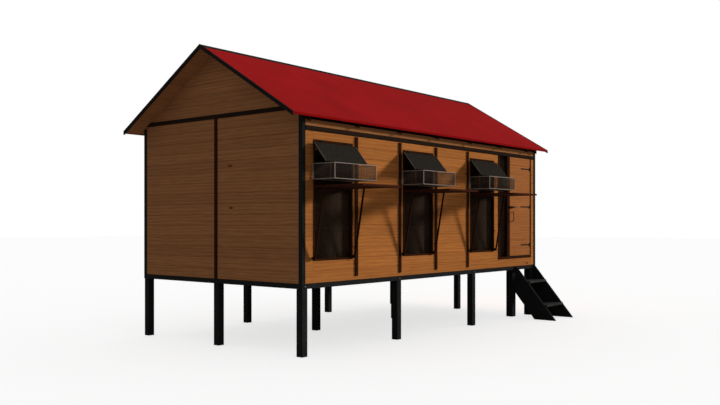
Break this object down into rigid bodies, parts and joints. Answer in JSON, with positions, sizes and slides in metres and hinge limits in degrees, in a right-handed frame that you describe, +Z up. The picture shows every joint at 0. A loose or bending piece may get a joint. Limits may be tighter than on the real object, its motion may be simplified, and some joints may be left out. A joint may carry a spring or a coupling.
{
  "type": "chicken coop",
  "caption": "Raised boarded chicken house on posts, with a pitched red roof, lidded wire baskets and propped flaps at the windows, a hinged door and short stairs.",
  "frame": {"origin": "bottom centre of the whole part's box, on the ground", "axes": "+X along the front wall towards the door, +Y from the front wall to the back wall, +Z up"},
  "size_m": [6.564, 3.976, 3.9188],
  "materials": {
    "black_post_paint": "black painted timber",
    "framing_timber": "sawn softwood",
    "floor_timber": "sawn softwood boards",
    "wall_boards": "oiled knotty boards",
    "frieze_wood": "oiled boards",
    "dark_stained_wood": "dark brown stain",
    "roof_boarding": "brown boarding",
    "red_roof_felt": "fine mineral-faced sheet",
    "black_edge_trim": "black painted edge board",
    "dark_netting": "dark coated wire netting",
    "galvanised_bar": "galvanised bar",
    "galvanised_netting": "galvanised wire netting",
    "nest_plywood": "plywood",
    "black_iron": "black japanned iron",
    "zinc_steel": "zinc plated",
    "grey_lid_sheet": "dark grey painted sheet",
    "flap_board": "dark stained board"
  },
  "bodies": {
    "house": {"legs": "black_post_paint", "floor_beams": "black_post_paint", "floor_joists": "framing_timber", "floor_boards": "floor_timber", "corner_posts": "black_post_paint", "wall_studs": "framing_timber", "front_wall_boards": "wall_boards", "back_wall_boards": "wall_boards", "left_wall_boards": "wall_boards", "right_wall_boards": "wall_boards", "left_gable_boards": "wall_boards", "right_gable_boards": "wall_boards", "wall_battens": "dark_stained_wood", "top_beams": "dark_stained_wood", "frieze_boards": "frieze_wood", "gable_tie_beams": "dark_stained_wood", "rafters": "dark_stained_wood", "ridge_beam": "framing_timber", "roof_boards": "roof_boarding", "roof_sheet_front": "red_roof_felt", "roof_sheet_back": "red_roof_felt", "ridge_cap": "black_edge_trim", "barge_boards": "black_edge_trim", "eave_fascias": "black_edge_trim", "window_frames": "dark_stained_wood", "window_netting": "dark_netting", "basket_frames": "galvanised_bar", "basket_netting": "galvanised_netting", "nest_boxes": "nest_plywood", "roost_perches": "framing_timber", "perch_supports": "framing_timber", "lid_hinge_plates": "black_iron", "flap_hinge_plates": "black_iron", "prop_clips": "black_iron", "door_surround": "dark_stained_wood", "side_panel_netting": "dark_netting", "door_hinge_plates": "black_iron", "bolt_keep": "black_iron", "stair_stringers": "black_post_paint", "stair_treads": "black_post_paint", "stair_cleats": "black_post_paint", "coach_bolts": "zinc_steel"},
    "lid_1": {"lid_1": "grey_lid_sheet"},
    "lid_2": {"lid_2": "grey_lid_sheet"},
    "lid_3": {"lid_3": "grey_lid_sheet"},
    "flap_1": {"flap_1": "flap_board", "flap_straps_1": "black_iron"},
    "flap_2": {"flap_2": "flap_board", "flap_straps_2": "black_iron"},
    "flap_3": {"flap_3": "flap_board", "flap_straps_3": "black_iron"},
    "props_1": {"props_1": "dark_stained_wood"},
    "props_2": {"props_2": "dark_stained_wood"},
    "props_3": {"props_3": "dark_stained_wood"},
    "door": {"door_boards": "wall_boards", "door_ledges": "framing_timber", "door_straps": "black_iron", "door_pull": "black_iron", "bolt_guides": "black_iron"},
    "bolt": {"door_bolt": "zinc_steel"}
  },
  "joints": [
    {"name": "lid_1_hinge", "type": "hinge", "parent": "house", "child": "lid_1", "pos_m": [-2.4275, -1.235, 2.597], "axis": [-1, 0, 0], "range_deg": [0, 85]},
    {"name": "flap_1_hinge", "type": "hinge", "parent": "house", "child": "flap_1", "pos_m": [-2.4275, -1.235, 2.036], "axis": [1, 0, 0], "range_deg": [0, 90]},
    {"name": "props_1_pivot", "type": "hinge", "parent": "flap_1", "child": "props_1", "pos_m": [-2.4275, -1.405, 2.0555], "axis": [1, 0, 0], "range_deg": [-101, 0]},
    {"name": "lid_2_hinge", "type": "hinge", "parent": "house", "child": "lid_2", "pos_m": [-0.587, -1.235, 2.597], "axis": [-1, 0, 0], "range_deg": [0, 85]},
    {"name": "flap_2_hinge", "type": "hinge", "parent": "house", "child": "flap_2", "pos_m": [-0.587, -1.235, 2.036], "axis": [1, 0, 0], "range_deg": [0, 90]},
    {"name": "props_2_pivot", "type": "hinge", "parent": "flap_2", "child": "props_2", "pos_m": [-0.587, -1.405, 2.0555], "axis": [1, 0, 0], "range_deg": [-101, 0]},
    {"name": "lid_3_hinge", "type": "hinge", "parent": "house", "child": "lid_3", "pos_m": [1.1855, -1.235, 2.597], "axis": [-1, 0, 0], "range_deg": [0, 85]},
    {"name": "flap_3_hinge", "type": "hinge", "parent": "house", "child": "flap_3", "pos_m": [1.1855, -1.235, 2.036], "axis": [1, 0, 0], "range_deg": [0, 90]},
    {"name": "props_3_pivot", "type": "hinge", "parent": "flap_3", "child": "props_3", "pos_m": [1.1855, -1.405, 2.0555], "axis": [1, 0, 0], "range_deg": [-101, 0]},
    {"name": "door_hinge", "type": "hinge", "parent": "house", "child": "door", "pos_m": [2.7925, -1.235, 1.89], "axis": [0, 0, 1], "range_deg": [0, 100]},
    {"name": "bolt_slide", "type": "slide", "parent": "door", "child": "bolt", "axis": [-1, 0, 0], "range_m": [0, 0.04]}
  ],
  "couplings": [
    {"joint": "props_1_pivot", "follows": "flap_1_hinge", "ratio": -1.1106},
    {"joint": "props_2_pivot", "follows": "flap_2_hinge", "ratio": -1.1106},
    {"joint": "props_3_pivot", "follows": "flap_3_hinge", "ratio": -1.1106}
  ]
}
